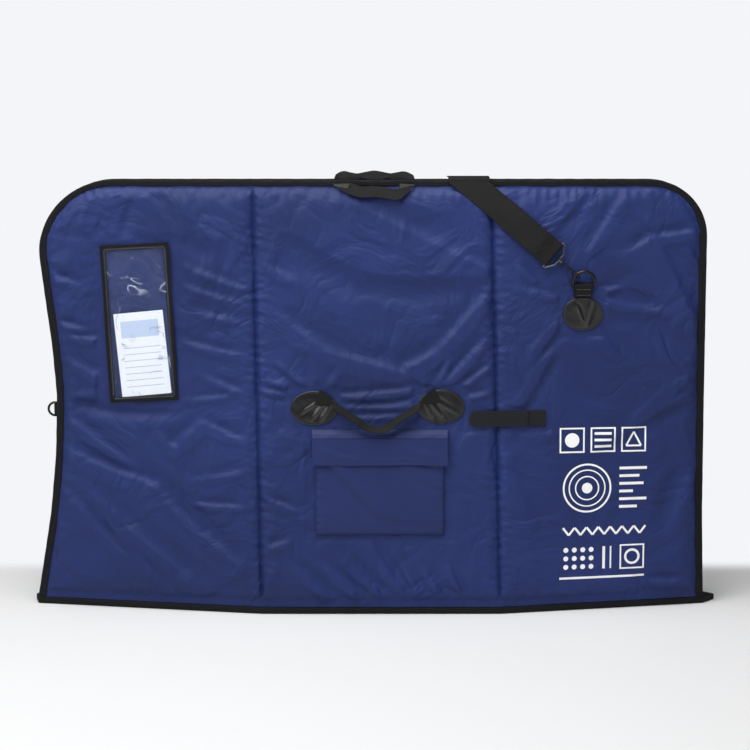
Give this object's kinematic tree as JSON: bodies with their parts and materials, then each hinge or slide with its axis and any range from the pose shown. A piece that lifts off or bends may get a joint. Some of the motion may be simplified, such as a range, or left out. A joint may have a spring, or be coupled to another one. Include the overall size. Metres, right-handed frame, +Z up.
{
  "type": "soft bike travel bag",
  "caption": "Padded soft travel bag for a bicycle, with a zipped folding front panel, shoulder strap, grab handles, card window and small flap pocket.",
  "frame": {"origin": "on the floor, midway between the front and back panels, on the vertical plane that the width is measured from", "axes": "+Z up, the front panel faces -Y, +X to the right as seen from the front"},
  "size_m": [1.2982, 0.2406, 0.8152],
  "materials": {
    "navy_nylon": "coated nylon with a soft sheen",
    "pocket_nylon": "the same nylon, matte",
    "lining_cloth": "plain woven polyester",
    "padding": "closed-cell foam sheet",
    "black_tape": "ribbed binding tape",
    "webbing": "woven webbing",
    "black_leather": "smooth synthetic leather",
    "black_coil": "moulded zip coil",
    "black_metal": "black painted zinc",
    "steel": "plain steel wire",
    "clear_vinyl": "clear flexible vinyl",
    "card_stock": "pale card",
    "hook_tape": "hook-and-loop tape"
  },
  "bodies": {
    "bag_body": {"back_binding": "black_tape", "back_foam_left": "padding", "back_foam_middle": "padding", "back_foam_right": "padding", "back_lining": "lining_cloth", "back_shell": "navy_nylon", "bottom_binding": "black_tape", "bottom_lining": "lining_cloth", "bottom_pad": "padding", "bottom_shell": "navy_nylon", "zip_tape_back": "black_tape", "zip_coil_back": "black_coil", "ring_patch_back": "black_leather", "ring_tab_back": "webbing", "snap_eye_back": "steel", "shoulder_strap_back": "webbing", "side_ring_tab": "webbing"},
    "front_panel": {"front_binding": "black_tape", "front_foam_left": "padding", "front_foam_middle": "padding", "front_foam_right": "padding", "front_lining": "lining_cloth", "front_shell": "navy_nylon", "zip_tape_front": "black_tape", "zip_coil_front": "black_coil", "window_frame": "black_tape", "window_film": "clear_vinyl", "pocket_body": "pocket_nylon", "pocket_flap_band": "pocket_nylon", "handle_patch_left": "black_leather", "handle_patch_right": "black_leather", "closure_strap_end": "hook_tape", "ring_patch_front": "black_leather", "ring_tab_front": "webbing", "snap_eye_front": "steel", "shoulder_strap_front": "webbing"},
    "top_handle_front": {"top_handle_front": "webbing"},
    "top_handle_back": {"top_handle_back": "webbing"},
    "carry_handle": {"carry_handle": "webbing"},
    "pocket_flap": {"pocket_flap": "pocket_nylon"},
    "closure_strap": {"closure_strap": "hook_tape"},
    "id_card": {"id_card": "card_stock"},
    "d_ring_front": {"d_ring_front": "black_metal"},
    "d_ring_back": {"d_ring_back": "black_metal"},
    "d_ring_side": {"d_ring_side": "black_metal"},
    "snap_hook_front": {"snap_hook_front": "black_metal"},
    "snap_hook_back": {"snap_hook_back": "black_metal"},
    "snap_gate_front": {"snap_gate_front": "black_metal"},
    "snap_gate_back": {"snap_gate_back": "black_metal"},
    "strap_adjuster": {"strap_adjuster": "black_metal"},
    "zip_slider_left": {"zip_slider_left": "black_metal"},
    "zip_slider_right": {"zip_slider_right": "black_metal"},
    "zip_pull_left": {"zip_pull_left": "black_metal"},
    "zip_pull_right": {"zip_pull_right": "black_metal"}
  },
  "joints": [
    {"name": "front_panel_open", "type": "hinge", "parent": "bag_body", "child": "front_panel", "pos_m": [0, -0.09725, 0.0123], "axis": [1, 0, 0], "range_deg": [0, 30]},
    {"name": "zip_slider_left_travel", "type": "slide", "parent": "bag_body", "child": "zip_slider_left", "axis": [-1, 0, 0], "range_m": [0, 0.381]},
    {"name": "zip_slider_right_travel", "type": "slide", "parent": "bag_body", "child": "zip_slider_right", "axis": [1, 0, 0], "range_m": [0, 0.381]},
    {"name": "zip_pull_left_swing", "type": "hinge", "parent": "zip_slider_left", "child": "zip_pull_left", "pos_m": [-0.02525, 0, 0.8045], "axis": [0, 1, 0], "range_deg": [0, 150]},
    {"name": "zip_pull_right_swing", "type": "hinge", "parent": "zip_slider_right", "child": "zip_pull_right", "pos_m": [0.02525, 0, 0.8045], "axis": [0, -1, 0], "range_deg": [0, 150]},
    {"name": "top_handle_front_swing", "type": "hinge", "parent": "front_panel", "child": "top_handle_front", "pos_m": [-0.00155, -0.0273, 0.7935], "axis": [-1, 0, 0], "range_deg": [0, 80]},
    {"name": "top_handle_back_swing", "type": "hinge", "parent": "bag_body", "child": "top_handle_back", "pos_m": [-0.00155, 0.0273, 0.7935], "axis": [-1, 0, 0], "range_deg": [0, 65]},
    {"name": "carry_handle_swing", "type": "hinge", "parent": "front_panel", "child": "carry_handle", "pos_m": [0.00341, -0.07675, 0.39327], "axis": [-1, 0, 0], "range_deg": [0, 150]},
    {"name": "pocket_flap_open", "type": "hinge", "parent": "front_panel", "child": "pocket_flap", "pos_m": [0.00899, -0.08767, 0.32934], "axis": [-1, 0, 0], "range_deg": [0, 95]},
    {"name": "closure_strap_peel", "type": "hinge", "parent": "front_panel", "child": "closure_strap", "pos_m": [0.28336, -0.07319, 0.36441], "axis": [0, 0.0818, 0.9966], "range_deg": [0, 170]},
    {"name": "id_card_slide", "type": "slide", "parent": "front_panel", "child": "id_card", "axis": [-0.0523, 0.0416, 0.9978], "range_m": [0, 0.285]},
    {"name": "d_ring_front_tilt", "type": "hinge", "parent": "front_panel", "child": "d_ring_front", "pos_m": [0.38376, -0.04883, 0.60918], "axis": [0.9983, 0.0579, -0.0032], "range_deg": [-3, 3]},
    {"name": "d_ring_back_tilt", "type": "hinge", "parent": "bag_body", "child": "d_ring_back", "pos_m": [-0.38376, 0.04896, 0.60917], "axis": [-0.9983, -0.0587, -0.003], "range_deg": [-3, 3]},
    {"name": "d_ring_side_swing", "type": "hinge", "parent": "bag_body", "child": "d_ring_side", "pos_m": [-0.60496, 0.0222, 0.3664], "axis": [0, 0, 1], "range_deg": [-80, 80]},
    {"name": "snap_hook_front_swivel", "type": "hinge", "parent": "front_panel", "child": "snap_hook_front", "pos_m": [0.3696, -0.05385, 0.62929], "axis": [-0.7557, -0.0074, 0.6549], "range_deg": [-10, 10]},
    {"name": "snap_hook_back_swivel", "type": "hinge", "parent": "bag_body", "child": "snap_hook_back", "pos_m": [-0.37739, 0.06117, 0.58686], "axis": [0.3349, 0.0674, -0.9399], "range_deg": [-10, 10]},
    {"name": "snap_gate_front_press", "type": "hinge", "parent": "snap_hook_front", "child": "snap_gate_front", "pos_m": [0.34682, -0.05227, 0.64883], "axis": [-0.6523, -0.08, -0.7537], "range_deg": [0, 20]},
    {"name": "snap_gate_back_press", "type": "hinge", "parent": "snap_hook_back", "child": "snap_gate_back", "pos_m": [-0.36724, 0.0614, 0.55857], "axis": [-0.9404, -0.0383, -0.3378], "range_deg": [0, 20]},
    {"name": "strap_adjuster_slide", "type": "slide", "parent": "bag_body", "child": "strap_adjuster", "axis": [0.3349, 0.0674, -0.9399], "range_m": [0, 0.06]}
  ],
  "couplings": [
    {"joint": "zip_slider_left_travel", "follows": "front_panel_open", "m_per_rad": 0.72575},
    {"joint": "zip_slider_right_travel", "follows": "front_panel_open", "m_per_rad": 0.72575}
  ]
}
